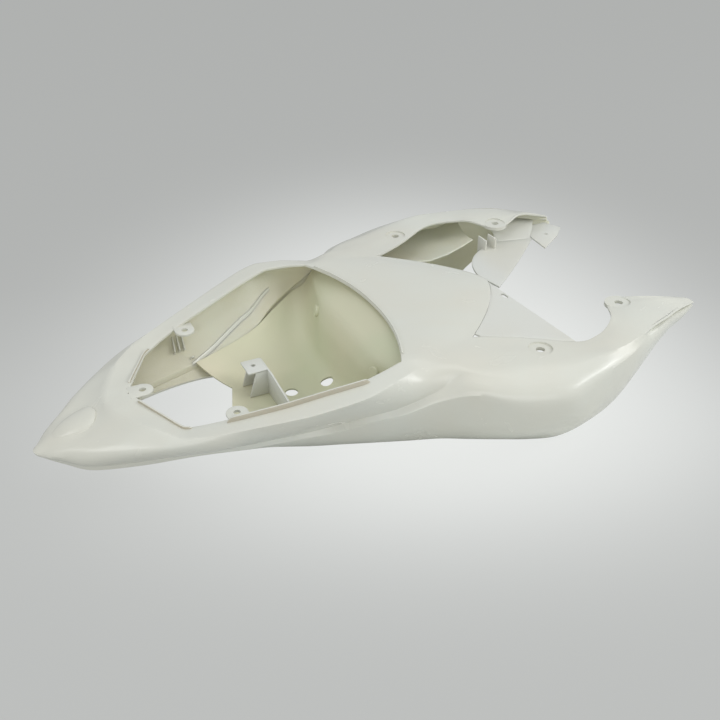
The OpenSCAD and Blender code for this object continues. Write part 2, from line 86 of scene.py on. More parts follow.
# Ribs of the left half from the tail to the front of the arm: inner edge, flange crease,
# cowl wall, seam, ledge, skin, hem, and how far the rib is rounded off
RIBS = [
    [[110, 0, 44], [83, 0, 39], [46, 0, 26], [0, 0, 1],
     [1, 0, -2.5], [4, 0, -6], [9, 0, -7], 0],
    [[117, 14, 44], [88, 20, 41], [30, 22, 15], [9, 14, 0],
     [10, 13, -3], [15, 10, -7], [22, 7, -8], 0],
    [[124, 28, 43], [96, 40, 42], [42, 41, 17], [28, 28, -3],
     [29, 26, -9], [33, 22, -11], [38, 18, -12], 0],
    [[138, 56, 40], [116, 72, 45], [67, 67, 21], [53, 49, -4],
     [54, 48, -10], [58, 43, -13], [63, 39, -13], 0],
    [[151, 82, 38], [143, 106, 42], [112, 97, 26], [104, 65, -4],
     [105, 64, -10], [108, 60, -13], [112, 56, -13], 0],
    [[173, 95, 44], [180, 125, 48], [172, 117, 25], [162, 79, -2],
     [163, 78, -8], [165, 73, -11], [168, 69, -12], 0],
    [[203, 108, 52], [214, 139, 55], [214, 123, 27], [212, 93, 0],
     [213, 93, -6], [215, 86, -12], [218, 78, -16], 0],
    [[245, 122, 62], [262, 158, 65], [260, 138, 36], [257, 106, 5],
     [258, 108, 0], [258, 96, -14], [261, 82, -27], 0],
    [[292, 136, 74], [302, 170, 75], [300, 148, 44], [300, 120, 13],
     [301, 125, 8], [298, 105, -17], [296, 80, -40], 0],
    [[331, 146, 82], [327, 173, 80], [330, 161, 55], [335, 141, 29],
     [336, 145, 24], [334, 118, -15], [332, 83, -48], 0],
    [[362, 140, 84], [362, 163, 82], [366, 166, 64], [372, 158, 42],
     [372, 164, 36], [372, 134, -13], [372, 92, -53], 0],
    [[384, 133, 84], [398, 148, 80], [402, 162, 72], [410, 168, 58],
     [410, 177, 50], [410, 150, -8], [410, 104, -55], 0.15],
    [[416, 131, 84], [425, 150, 82], [431, 162, 80], [439, 174, 75],
     [444, 198, 60], [448, 176, -2], [450, 119, -55], 0.5],
    [[450, 126, 83], [455, 146, 82], [460, 168, 79], [468, 194, 73],
     [474, 218, 52], [476, 200, 0], [482, 136, -55], 1],
    [[484, 120, 81], [488, 142, 80], [495, 170, 78.5], [502, 201, 74],
     [506, 231, 53], [508, 218, 2], [515, 153, -55], 1],
    [[515, 133, 80], [518, 152, 79], [524, 178, 79], [532, 210, 75],
     [537, 240, 54], [540, 226, 3], [546, 168, -55], 1],
    [[546, 150, 79], [550, 165, 79], [556, 188, 79], [562, 216, 77],
     [566, 237, 60], [569, 228, 4], [577, 179, -54], 0.7],
    [[590, 178, 78], [593, 188, 79], [596, 201, 80], [600, 216, 81],
     [604, 230, 70], [606, 220, 10], [610, 180, -50], 0.3],
    [[614, 180, 80], [618, 188, 81], [624, 200, 82], [632, 212, 81],
     [637, 220, 73], [640, 212, 18], [643, 181, -34], 0],
    [[636, 172, 82], [643, 181, 83], [652, 192, 83], [663, 204, 82],
     [666, 206, 76], [670, 206, 44], [671, 181, -8], 0],
    [[656, 156, 85], [664, 166, 85], [674, 179, 85], [690, 196, 83],
     [688, 192, 78], [695, 198, 62], [700, 175, 16], 0],
    [[678, 123, 82], [688, 142, 85], [700, 163, 86], [718, 187, 82],
     [713, 181, 77], [721, 187, 67], [726, 167, 30], 0],
    [[703, 126, 84], [714, 141, 85], [727, 156, 84], [744, 175, 78],
     [739, 169, 73], [746, 175, 65], [750, 160, 40], 0],
    [[738, 144, 85], [748, 149, 83], [758, 155, 80], [772, 164, 73],
     [768, 159, 68], [773, 164, 62], [774, 152, 43], 0],
    [[785, 146, 73], [788, 148, 72], [792, 150, 70], [797, 153, 66],
     [795, 151, 63], [799.5, 150, 59], [798, 146, 54], 0]
]
LAST_RIB = len(RIBS) - 1
RIB_POINTS = [np.array(rib[:7], float) for rib in RIBS]
ROUNDING = [rib[7] for rib in RIBS]
MIRROR = np.array([1.0, -1.0, 1.0])
# Places across a rib, closer together round its creases
ACROSS = [0, .3, .6, .85, 1, 1.08, 1.18, 1.3, 1.45, 1.6, 1.8, 2, 2.25, 2.5, 2.75, 2.9, 3,
          3.2, 3.4, 3.6, 3.8, 4, 4.15, 4.35, 4.6, 4.8, 5, 5.2, 5.4, 5.6, 5.8, 6]


def mix(a, b, t):
    return a + (b - a) * t


def spline(a, b, c, d, t):
    """Smooth curve through four points, at t from the second to the third."""
    return 0.5 * (2 * b + (c - a) * t + (2 * a - 5 * b + 4 * c - d) * t ** 2
                  + (3 * b - a - 3 * c + d) * t ** 3)


def parabola(a, b, c, t):
    return a * (1 - t) * (2 - t) / 2 + b * t * (2 - t) + c * t * (t - 1) / 2


def creased(r, k):
    if k <= 1:
        return mix(r[0], r[1], k)
    if k <= 3:
        return parabola(r[1], r[2], r[3], k - 1)
    if k <= 4:
        return mix(r[3], r[4], k - 3)
    return parabola(r[4], r[5], r[6], k - 4)


def rounded(r, k):
    n = min(int(k), 5)
    return spline(r[max(n - 1, 0)], r[n], r[n + 1], r[min(n + 2, 6)], k - n)


def rib_point(n, k):
    if n < 0:
        return rib_point(-n, k) * MIRROR
    n = min(n, LAST_RIB)
    return mix(creased(RIB_POINTS[n], k), rounded(RIB_POINTS[n], k), ROUNDING[n])


SCOOP_DEPTH = 9
SCOOP_RIBS = 4.5


def scoop(u, k):
    """Hollow of the tail wall just below the flange's crease."""
    if not 1 < k < 2:
        return 0
    return SCOOP_DEPTH * max(0, 1 - u / SCOOP_RIBS) * math.sin(math.pi * (k - 1)) * (2 - k)


def left_point(u, k):
    """Point of the left half: u counts ribs from the tail, k counts points across a rib."""
    n = min(int(math.floor(u)), LAST_RIB - 1)
    a, b = rib_point(n, k), rib_point(n + 1, k)
    curve = spline(rib_point(n - 1, k), a, b, rib_point(n + 2, k), u - n)
    straight = FLANGE_STRAIGHTNESS if k <= 1 and u < BRIDGE_REAR_RIB else 0
    return mix(curve, mix(a, b, u - n), straight) - np.array([0, 0, scoop(u, k)])


def cowl_point(u, k):
    return left_point(-u, k) * MIRROR if u < 0 else left_point(u, k)


def grid_normals(grid):
    """Outward normal at each point of a grid, from its neighbours."""
    rows = np.gradient(grid, axis=0)
    cols = np.gradient(grid, axis=1)
    normal = np.cross(rows, cols)
    return normal / np.maximum(np.linalg.norm(normal, axis=2, keepdims=True), 1e-9)


HALF_CELLS = LAST_RIB * RIB_STEPS
SIDES = np.array([[cowl_point(i / RIB_STEPS, k) for k in ACROSS]
                  for i in range(-HALF_CELLS, HALF_CELLS + 1)])
SIDES_LOW = SIDES - grid_normals(SIDES) * WALL
BRIDGE_CELLS = (BRIDGE_FRONT_RIB - BRIDGE_REAR_RIB) * RIB_STEPS


def edge_row(q, side):
    return HALF_CELLS + side * (BRIDGE_REAR_RIB * RIB_STEPS + q)


def bridge_point(q, s, grid):
    """Point of the bridge: q counts cells forwards, s runs from -1 on the right to 1."""
    a = grid[edge_row(q, 1)][0]
    t = q / BRIDGE_CELLS
    bow = 1 - abs(s) ** mix(*BRIDGE_BOW, t)
    rise = BRIDGE_CROWN * math.sin(math.pi * t) - BRIDGE_DROP * t
    return np.array([mix(a[0], mix(BRIDGE_REAR_X, BRIDGE_FRONT_X, t), bow),
                     a[1] * s, a[2] + rise * (1 - s * s)])


def inside_point(u, k, off, side=1):
    """Point set off inwards from the inner face of a side."""
    p = left_point(u, k)
    along = left_point(u + SLOPE_STEP, k) - left_point(u - SLOPE_STEP, k)
    over = left_point(u, k + SLOPE_STEP) - left_point(u, k - SLOPE_STEP)
    normal = np.cross(along, over)
    p = p - normal / np.linalg.norm(normal) * (WALL + off)
    return p if side > 0 else p * MIRROR


# Meshes

BEVEL_SEGMENTS = 2
SHARP_ANGLE = 32
ROUND_SIDES = 64


def band(a, b):
    """Faces between two rows of point numbers."""
    return [[a[j], a[j + 1], b[j + 1], b[j]] for j in range(len(a) - 1)]


def numbers(rows, cols, start=0):
    return [[start + i * cols + j for j in range(cols)] for i in range(rows)]


def drum(n):
    """Faces of a solid between a low and a high ring of n points."""
    return ([list(range(n))[::-1], list(range(n, 2 * n))]
            + [[i, (i + 1) % n, n + (i + 1) % n, n + i] for i in range(n)])


def new_object(name, points, faces):
    mesh = bpy.data.meshes.new(name)
    mesh.from_pydata([to_row(p) for p in points], [], faces)
    piece = bpy.data.objects.new(name, mesh)
    bpy.context.scene.collection.objects.link(piece)
    return piece


def apply_modifiers(piece):
    graph = bpy.context.evaluated_depsgraph_get()
    mesh = bpy.data.meshes.new_from_object(piece.evaluated_get(graph))
    piece.modifiers.clear()
    piece.data = mesh
    return piece


def soften(piece, width, angle=35):
    """Small radius on every edge sharper than an angle."""
    bevel = piece.modifiers.new("radius", "BEVEL")
    bevel.width = width * MM
    bevel.segments = BEVEL_SEGMENTS
    bevel.limit_method = "ANGLE"
    bevel.angle_limit = math.radians(angle)
    bevel.use_clamp_overlap = True
    return apply_modifiers(piece)


def finish_faces(piece):
    piece.data.shade_smooth()
    piece.data.set_sharp_from_angle(angle=math.radians(SHARP_ANGLE))
    return piece


def boolean(piece, tool, operation):
    change = piece.modifiers.new("boolean", "BOOLEAN")
    change.operation = operation
    change.object = tool
    change.solver = "EXACT"
    apply_modifiers(piece)
    bpy.data.objects.remove(tool)
    return piece


def sheet(name, outer, depth):
    """Sheet of one thickness whose outer face is a grid of points."""
    outer = np.asarray(outer, float)
    rows, cols = outer.shape[:2]
    inner = outer - grid_normals(outer) * depth
    top, low = numbers(rows, cols), numbers(rows, cols, rows * cols)
    faces = [face for i in range(rows - 1) for face in band(top[i], top[i + 1])]
    faces += [face for i in range(rows - 1) for face in band(low[i + 1], low[i])]
    faces += band(low[0], top[0]) + band(top[-1], low[-1])
    faces += band([r[0] for r in top], [r[0] for r in low])
    faces += band([r[-1] for r in low], [r[-1] for r in top])
    return new_object(name, np.concatenate([outer.reshape(-1, 3), inner.reshape(-1, 3)]), faces)


def cylinder(name, at, radius, height, axis=(0, 0, 1), chamfer=0):
    """Turned solid whose base is centred at a point; chamfer widens it at the far end."""
    sides = ROUND_SIDES
    rings = [(radius, 0), (radius, height - abs(chamfer)), (radius + chamfer, height)]
    turn = Vector(axis).to_track_quat("Z", "Y").to_matrix()
    points, faces = [], []
    for r, z in rings:
        for n in range(sides):
            a = 2 * math.pi * n / sides
            points.append(Vector(at) + turn @ Vector((r * math.cos(a), r * math.sin(a), z)))
    for i in range(len(rings) - 1):
        for n in range(sides):
            m = (n + 1) % sides
            faces.append([i * sides + n, i * sides + m, (i + 1) * sides + m, (i + 1) * sides + n])
    faces.append(list(range(sides))[::-1])
    faces.append([(len(rings) - 1) * sides + n for n in range(sides)])
    return new_object(name, points, faces)


def drilled(piece, at, width, reach):
    """A piece with an upright round hole that runs as far above a point as below it."""
    tool = cylinder("drill", np.array(at, float) - [0, 0, reach], width / 2, 2 * reach)
    return boolean(piece, tool, "DIFFERENCE")


def join(name, pieces):
    """One object from several, which keep their own closed surfaces."""
    mesh = bmesh.new()
    for piece in pieces:
        mesh.from_mesh(piece.data)
    data = bpy.data.meshes.new(name)
    mesh.to_mesh(data)
    mesh.free()
    for piece in pieces:
        bpy.data.objects.remove(piece)
    whole = bpy.data.objects.new(name, data)
    bpy.context.scene.collection.objects.link(whole)
    return whole


def cowl_shell():
    rows, cols = SIDES.shape[:2]
    count = rows * cols
    fill = BRIDGE_STEPS - 1
    crossing = [2 * p / BRIDGE_STEPS - 1 for p in range(1, BRIDGE_STEPS)]
    middle = [bridge_point(q, s, SIDES) for q in range(BRIDGE_CELLS + 1) for s in crossing]
    middle_low = [bridge_point(q, s, SIDES_LOW) for q in range(BRIDGE_CELLS + 1) for s in crossing]
    top, low = numbers(rows, cols), numbers(rows, cols, count)
    fill_count = len(middle)

    def bridge_rows(edge, start):
        return [[edge[edge_row(q, -1)][0]]
                + [start + q * fill + p for p in range(fill)]
                + [edge[edge_row(q, 1)][0]] for q in range(BRIDGE_CELLS + 1)]

    bridge_top = bridge_rows(top, 2 * count)
    bridge_low = bridge_rows(low, 2 * count + fill_count)
    spans = [(0, edge_row(BRIDGE_CELLS, -1)), (edge_row(0, -1), edge_row(0, 1)),
             (edge_row(BRIDGE_CELLS, 1), rows - 1)]
    inner = [face for i in range(rows - 1) for face in band(low[i + 1], low[i])]
    inner += [face for q in range(BRIDGE_CELLS) for face in band(bridge_low[q + 1], bridge_low[q])]
    faces = inner + [face for i in range(rows - 1) for face in band(top[i], top[i + 1])]
    faces += band(low[0], top[0]) + band(top[-1], low[-1])
    faces += band([r[-1] for r in low], [r[-1] for r in top])
    for first, last in spans:
        edge = range(first, last + 1)
        faces += band([top[i][0] for i in edge], [low[i][0] for i in edge])
    faces += [face for q in range(BRIDGE_CELLS) for face in band(bridge_top[q], bridge_top[q + 1])]
    faces += band(bridge_low[0], bridge_top[0]) + band(bridge_top[-1], bridge_low[-1])
    points = np.concatenate([SIDES.reshape(-1, 3), SIDES_LOW.reshape(-1, 3),
                             np.array(middle), np.array(middle_low)])
    shell = new_object("cowl_shell", points, faces)
    for slot in range(3):
        shell.data.materials.append(None)
    # Inner faces take the second material, the darker copy with painted shade.
    for n in range(len(inner)):
        shell.data.polygons[n].material_index = 1
    return shell


REAR_LUG = [127, 0, 44]
SIDE_LUG = [205, 96, 50]
LUG_HOLE = 8
LUG_WIDTH = 24
LUG_THICKNESS = 3
LUG_REACH = 16
LUG_SIDES = 32
# First rib, last rib, height and place across the ribs of each lip
LIPS = [[-9.15, -5.55, 6, 0.15], [-4.3, -1.4, 3, 0.06], [1.4, 4.3, 2.5, 0.06]]
LIP_WALL = 2.2
LIP_END = 0.3
LIP_SLOPE = 0.6
BEAD_HEIGHT = 2.5
BEAD_REACH = 0.9
BEAD_SHIFT = 0.5
ARM_SEATS = [[542, 172, 78.6], [687, 134, 85]]
DIMPLE_WIDTH = 30
DIMPLE_DEPTH = 1.4
DIMPLE_TAPER = 1
DIMPLE_FLARE = 3
DIMPLE_REACH = 8
ARM_HOLE = 10.5
PAD_HEIGHT = 3
PAD_RIM = 2


def lug(at, angle):
    """Rounded lug: a half disc on a short tongue that runs back into the wall."""
    outline = [(LUG_WIDTH / 2 * math.cos(a), LUG_WIDTH / 2 * math.sin(a))
               for a in [math.pi * (n / LUG_SIDES - 0.5) for n in range(LUG_SIDES + 1)]]
    outline += [(-LUG_REACH, LUG_WIDTH / 2), (-LUG_REACH, -LUG_WIDTH / 2)]
    turn = Matrix.Rotation(math.radians(angle), 3, "Z")
    points = [Vector(at) + turn @ Vector((x, y, z))
              for z in (-LUG_THICKNESS, 0) for x, y in outline]
    piece = soften(new_object("lug", points, drum(len(outline))), 0.7)
    return drilled(piece, at, LUG_HOLE, 10)


def lip(first, last, height, place):
    """Upright edge along the seat opening, lower at its two ends."""
    count = int(abs(last - first) * RIB_STEPS)
    rows = []
    for n in range(count + 1):
        p = cowl_point(mix(first, last, n / count), place)
        rise = height * min(1, LIP_SLOPE * min(n, count - n) + LIP_END)
        rows.append([p - [0, 0, WALL / 2], p + [0, 0, rise / 2], p + [0, 0, rise]])
    piece = soften(sheet("lip", rows, LIP_WALL), 0.6)
    # Upright sides take the third material, a darker brown that is painted shade; the top keeps the
    # ivory.
    for polygon in piece.data.polygons:
        polygon.material_index = 2 if abs(polygon.normal.z) < 0.5 else 0
    return piece


BLISTER = [[18.7, 0], [30, 10.5], [44.4, 17.6], [54, 20.3], [62, 19.4], [69.5, 12.5], [73.3, 0]]
BLISTER_MIDDLE = [52, 0]
BLISTER_HEIGHT = 3.4
BLISTER_SINK = 0.5
BLISTER_FRONT = 5
BLISTER_RINGS = 14
BLISTER_STEPS = 12
BLISTER_CROWDING = 1.6
BLISTER_FADE = 0.8
BLISTER_SQUARENESS = 6
GROUND_REACH = [16, 78]
GROUND_WIDTH = 21
GROUND_FLARE = [2, 0.6]
GROUND_STEP = 3
GROUND_ABOVE = 80
GROUND_UNIT = 50


def tail_ground(cowl):
    """Smooth height of the tail's top, fitted to the cowl as it is seen from above."""
    tree = BVHTree.FromObject(cowl, bpy.context.evaluated_depsgraph_get())
    down = Vector((0, 0, -1))
    spots = [(x, y) for x in range(*GROUND_REACH, GROUND_STEP)
             for y in range(-GROUND_WIDTH, GROUND_WIDTH + 1, GROUND_STEP)
             if abs(y) < GROUND_FLARE[0] + GROUND_FLARE[1] * x]
    heights = [tree.ray_cast(to_row([x, y, GROUND_ABOVE]), down)[0].z / MM - KEEL_DEPTH
               for x, y in spots]

    def terms(x, y):
        return [(x / GROUND_UNIT) ** a * (y / GROUND_UNIT) ** b for a in range(4) for b in (0, 2)]

    table = np.array([terms(x, y) for x, y in spots])
    fit = np.linalg.lstsq(table, np.array(heights), rcond=None)[0]
    return lambda x, y: sum(c * term for c, term in zip(fit, terms(x, y)))


def blister(cowl):
    """Low teardrop on the tail: fades out at its tip and ends in a round, steep front."""
    half = [np.array(p, float) for p in BLISTER]
    edge = []
    for n in range(len(half) - 1):
        a = half[n - 1] if n else half[1] * [1, -1]
        d = half[n + 2] if n + 2 < len(half) else half[-2] * [1, -1]
        edge += [spline(a, half[n], half[n + 1], d, t / BLISTER_STEPS)
                 for t in range(BLISTER_STEPS)]
    ring = edge + [half[-1]] + [p * [1, -1] for p in edge[:0:-1]]
    ground = tail_ground(cowl)
    start, end = BLISTER[0][0], BLISTER[-1][0] - BLISTER_FRONT
    count = len(ring)
    points = []
    for i in range(BLISTER_RINGS + 1):
        r = 1 - (1 - i / BLISTER_RINGS) ** BLISTER_CROWDING
        for p in ring:
            x, y = mix(np.array(BLISTER_MIDDLE, float), p, r)
            fade = min(1, max(0, (x - start) / (end - start)))
            crown = math.sqrt(max(0, 1 - r ** BLISTER_SQUARENESS))
            rise = BLISTER_HEIGHT * fade ** BLISTER_FADE * crown - BLISTER_SINK
            points.append([x, y, ground(x, y) + rise])
    faces = []
    for i in range(BLISTER_RINGS):
        for n in range(count):
            m = (n + 1) % count
            faces.append([i * count + n, (i + 1) * count + n, (i + 1) * count + m, i * count + m])
    piece = new_object("blister", points, faces)
    mesh = bmesh.new()
    mesh.from_mesh(piece.data)
    bmesh.ops.remove_doubles(mesh, verts=mesh.verts, dist=0.00001)
    bmesh.ops.recalc_face_normals(mesh, faces=mesh.faces)
    if sum(face.normal.z for face in mesh.faces) < 0:
        bmesh.ops.reverse_faces(mesh, faces=mesh.faces)
    mesh.to_mesh(piece.data)
    mesh.free()
    return piece


# Ribs and places across them that the fold follows, and the places and heights of its profile
RIDGE = [[5.9, 3.0], [6.7, 2.8], [7.7, 2.5], [9.2, 2.4]]
RIDGE_PROFILE = [[-1, -0.8], [-0.4, 1.6], [0.6, 0.8], [1.6, -0.8]]
RIDGE_WIDTH = 0.07
RIDGE_WALL = 0.6
RIDGE_STEPS = 8


def ridge(side):
    """Stiffening fold along the inner face of the cowl's side."""
    rows = []
    for n in range(len(RIDGE) - 1):
        for t in range(RIDGE_STEPS + (n == len(RIDGE) - 2)):
            u, k = [mix(a, b, t / RIDGE_STEPS) for a, b in zip(RIDGE[n], RIDGE[n + 1])]
            rows.append([inside_point(u, k + w * RIDGE_WIDTH, h, side) for w, h in RIDGE_PROFILE])
    grid = rows if side > 0 else [row[::-1] for row in rows]
    return sheet("ridge", grid, -RIDGE_WALL)


LUG_FIN_RIBS = [5.45, 5.6, 5.75]
LUG_FIN_SPAN = [1.9, 2.5]
LUG_FIN_REACH = [4, 8]
LUG_FIN_SINK = 0.5
LUG_FIN_WALL = 1.4


def lug_fins(side):
    """Three small fins on the inner face, under the side lug."""
    fins = []
    for u in LUG_FIN_RIBS:
        rows = [[inside_point(u, k, off, side) for off in (-LUG_FIN_SINK, reach / 2, reach)]
                for k, reach in zip(LUG_FIN_SPAN, LUG_FIN_REACH)]
        fins.append(sheet("fin", rows, LUG_FIN_WALL))
    return fins


CLIP_PLACE = [5.95, 2.85]
CLIP_RADIUS = [3, 5.5]
CLIP_RIBS_PER_MM = 0.012
CLIP_SINK = 0.4
CLIP_WALL = 2
CLIP_STEPS = 16


def clip(side):
    """Half ring that stands on the inner face."""
    rows = []
    for n in range(CLIP_STEPS + 1):
        a = math.pi * n / CLIP_STEPS
        rows.append([inside_point(CLIP_PLACE[0] - CLIP_RIBS_PER_MM * r * math.cos(a),
                                  CLIP_PLACE[1], r * math.sin(a) - CLIP_SINK, side)
                     for r in CLIP_RADIUS])
    return sheet("clip", rows, CLIP_WALL)


def tail_cowl():
    cowl = soften(cowl_shell(), 0.7)
    bump = blister(cowl)
    for x, y, z in ARM_SEATS:
        for side in (-1, 1):
            at = np.array([x, y * side, z])
            pad = cylinder("pad", at - [0, 0, WALL + PAD_HEIGHT], DIMPLE_WIDTH / 2 + PAD_RIM,
                           WALL / 2 + PAD_HEIGHT)
            boolean(cowl, pad, "UNION")
            sink = cylinder("sink", at - [0, 0, DIMPLE_DEPTH], DIMPLE_WIDTH / 2 - DIMPLE_TAPER,
                            DIMPLE_REACH, chamfer=DIMPLE_FLARE)
            boolean(cowl, sink, "DIFFERENCE")
            drilled(cowl, at, ARM_HOLE, 12)
    parts = [cowl, bump, lug(REAR_LUG, 0)]
    for side in (-1, 1):
        parts += [ridge(side), clip(side)] + lug_fins(side)
    x, y, z = SIDE_LUG
    parts += [lug([x, y * side, z], -90 * side) for side in (-1, 1)]
    parts += [lip(*place) for place in LIPS]
    bead = [[bridge_point(0, -BEAD_REACH * n / BRIDGE_STEPS, SIDES) + [BEAD_SHIFT, 0, h]
             for h in (-WALL / 2, BEAD_HEIGHT)] for n in range(-BRIDGE_STEPS, BRIDGE_STEPS + 1)]
    parts.append(soften(sheet("bead", bead, LIP_WALL), 0.6))
    return finish_faces(join("cowl_moulding", parts))


# Seat tub and the pieces under the cowl

TUB_FLOOR = -15
# Rib and place across it of the row's edge, corner of the floor, and how much further in
# from the cowl the edge stands
TUB_ROWS = [
    [6, 3, 228, 40, -13, 0],
    [7, 3, 258, 44, TUB_FLOOR, 0],
    [8, 3, 300, 45, TUB_FLOOR, 0],
    [9, 3.25, 330, 46, TUB_FLOOR, 0],
    [9.6, 3.35, 350, 48, TUB_FLOOR, 0.3],
    [10, 3.3, 363, 52, -7, 0.6],
    [10.4, 3.1, 369, 58, 14, 3],
    [10.8, 2.7, 374, 66, 40, 6],
    [11, 2.1, 388, 76, 62, 9]
]
TUB_KNEE = np.array([0.5, 0.4, 0.9])
TUB_FLOOR_PLACES = [0.1, 0.3, 0.5, 0.7, 0.9]
TUB_SIDE_STEPS = 20
TUB_ROW_STEPS = 5
TUB_RIM_REACH = 0.76
TUB_RIM_DROP = 7
REAR_SKEW = 14
DRAINS = [305, 353]
DRAIN_HOLE = 16
BOSS_ROW = 7
BOSS_COLUMN = 5 / 6
BOSS_WIDTH = 15
BOSS_HEIGHT = 5
BOSS_CHAMFER = 1


def bent(a, b, c, t):
    return a * (1 - t) ** 2 + b * 2 * t * (1 - t) + c * t ** 2


def tub_row(row):
    edge = inside_point(row[0], row[1], TUB_WALL + SEAT_GAP + row[5])
    corner = np.array(row[2:5], float)
    knee = mix(edge, corner, TUB_KNEE)
    half = [bent(edge, knee, corner, n / TUB_SIDE_STEPS) for n in range(TUB_SIDE_STEPS + 1)]
    floor = [mix(half[-1] * MIRROR, half[-1], t) for t in TUB_FLOOR_PLACES]
    return [p * MIRROR for p in half] + floor + half[::-1]


def tub_rim(count):
    rim = []
    for n in range(count):
        s = (2 * n / (count - 1) - 1) * TUB_RIM_REACH
        drop = SEAT_GAP + TUB_RIM_DROP * s ** 4
        rim.append(bridge_point(RIB_STEPS // 3, s, SIDES_LOW) - [0, 0, drop])
    return rim


def skewed(row):
    """Rear row whose floor corners run forward on the left and back on the right."""
    edge, corner = abs(row[0][1]), TUB_ROWS[0][3]
    out = []
    for p in row:
        y = abs(p[1])
        shift = REAR_SKEW * np.sign(p[1]) * min(y / corner, (edge - y) / (edge - corner))
        out.append(p + [shift, 0, 0])
    return out


def seat_tub():
    rows = [tub_row(row) for row in TUB_ROWS]
    rows[0] = skewed(rows[0])
    rows = np.array(rows + [tub_rim(len(rows[0]))])
    fine = []
    for n in range(len(rows) - 1):
        a, d = rows[max(n - 1, 0)], rows[min(n + 2, len(rows) - 1)]
        fine += [spline(a, rows[n], rows[n + 1], d, t / TUB_ROW_STEPS)
                 for t in range(TUB_ROW_STEPS)]
    fine.append(rows[-1])
    tub = sheet("tub_moulding", fine, TUB_WALL)
    soften(tub, 0.6, angle=50)
    for x in DRAINS:
        drilled(tub, [x, 0, TUB_FLOOR], DRAIN_HOLE, 12)
    parts = [tub]
    row = BOSS_ROW * TUB_ROW_STEPS
    column = round(BOSS_COLUMN * TUB_SIDE_STEPS)
    fine = np.array(fine)
    normals = grid_normals(fine)[row]
    for c in (column, fine.shape[1] - 1 - column):
        at = fine[row][c] - normals[c] * TUB_WALL / 2
        parts.append(cylinder("boss", at, BOSS_WIDTH / 2, BOSS_HEIGHT, axis=normals[c],
                              chamfer=-BOSS_CHAMFER))
    return finish_faces(join("tub_moulding", parts))


INFILL_BRIDGE = [-0.95, -0.08]
INFILL_ARM = [14.33, 16.95]
INFILL_STEPS = 28
INFILL_COLUMNS = 16
INFILL_GAP = 0.4
ARM_GAP_WAY = np.array([0.49, 0.87, 0])
BRIDGE_GAP_WAY = np.array([0.87, -0.49, 0])
INFILL_WALL = 2.2
INFILL_SLOT = [577, -50]
SLOT_LENGTH = 12
SLOT_WIDTH = 6
SLOT_SIDES = 24
SLOT_LEVELS = [60, 95]


def infill_panel():
    rows = []
    for n in range(INFILL_STEPS + 1):
        u = mix(*INFILL_ARM, n / INFILL_STEPS)
        s = mix(*INFILL_BRIDGE, n / INFILL_STEPS)
        outer = cowl_point(-u, 0) + INFILL_GAP * ARM_GAP_WAY
        inner = bridge_point(BRIDGE_CELLS, s, SIDES) + INFILL_GAP * BRIDGE_GAP_WAY
        rows.append([mix(outer, inner, w / INFILL_COLUMNS) for w in range(INFILL_COLUMNS + 1)])
    panel = soften(sheet("infill_sheet", rows, INFILL_WALL), 0.5)
    slot = []
    for n in range(SLOT_SIDES):
        a = 2 * math.pi * n / SLOT_SIDES
        shift = (SLOT_LENGTH - SLOT_WIDTH) / 2 * (1 if math.sin(a) > 0 else -1)
        slot.append([INFILL_SLOT[0] + SLOT_WIDTH / 2 * math.cos(a),
                     INFILL_SLOT[1] + SLOT_WIDTH / 2 * math.sin(a) + shift])
    points = [[x, y, z] for z in SLOT_LEVELS for x, y in slot]
    boolean(panel, new_object("slot", points, drum(SLOT_SIDES)), "DIFFERENCE")
    return finish_faces(panel)


BULKHEAD_X = 279
BULKHEAD_WALL = 2.5
BULKHEAD_HEIGHT = 35
BULKHEAD_TOP = [-54, 38]
BULKHEAD_FOOT = 44
BULKHEAD_SHOULDER = [0.8, 0.3]
GUSSETS = [13, 40]
GUSSET = [14, 24]
BRACKET_TAB = 24
BRACKET_HOLE = 6


def prism(name, outline, along, depth):
    """Flat piece: an outline of points, pushed out along a direction."""
    push = np.array(along, float) * depth
    low = [np.array(p, float) for p in outline]
    piece = new_object(name, low + [p + push for p in low], drum(len(outline)))
    mesh = bmesh.new()
    mesh.from_mesh(piece.data)
    bmesh.ops.recalc_face_normals(mesh, faces=mesh.faces)
    mesh.to_mesh(piece.data)
    mesh.free()
    return soften(piece, 0.5)


def tub_bulkhead():
    base = TUB_FLOOR + SEAT_GAP
    high = BULKHEAD_HEIGHT
    right, left = BULKHEAD_TOP
    upper, lower = BULKHEAD_SHOULDER
    outline = [[-BULKHEAD_FOOT, 0], [left, 0], [left, high], [0, high],
               [right, high * upper], [right, high * lower]]
    wall = [[BULKHEAD_X, y, base + z] for y, z in outline]
    parts = [prism("wall", wall, (1, 0, 0), BULKHEAD_WALL)]
    for y in GUSSETS:
        gusset = [[0.5, 0], [0.5, high - 1], [-GUSSET[0], high - 1], [-GUSSET[1], 0]]
        parts.append(prism("gusset", [[BULKHEAD_X + x, y, base + z] for x, z in gusset],
                           (0, -1, 0), BULKHEAD_WALL))
    right, left = GUSSETS[0] - BULKHEAD_WALL, GUSSETS[1]
    rear, front = BULKHEAD_X - BRACKET_TAB, BULKHEAD_X + 1
    top = base + high - BULKHEAD_WALL
    tab = prism("tab", [[rear, right, top], [front, right, top], [front, left, top],
                        [rear, left, top]], (0, 0, 1), BULKHEAD_WALL)
    hole = [BULKHEAD_X - BRACKET_TAB / 2, sum(GUSSETS) / 2, top + 1]
    parts.append(drilled(tab, hole, BRACKET_HOLE, 6))
    return finish_faces(join("bulkhead_panel", parts))


BRACE_FOOT = [[583, 14, 75], [591, -20, 74.2]]
BRACE_WAIST = [[619, 84, 66], [665, 43, 66]]
BRACE_RIDGE = [[686, 122, 60], [738, 109, 60]]
BRACE_RIBS = [20.6, 23.2]
BRACE_AT = 4.7
BRACE_WALL = 2.4
BRACE_STEPS = 12
SHELF_START = 0.03
FIN_HEIGHT = 30
FINS = [648, 664]
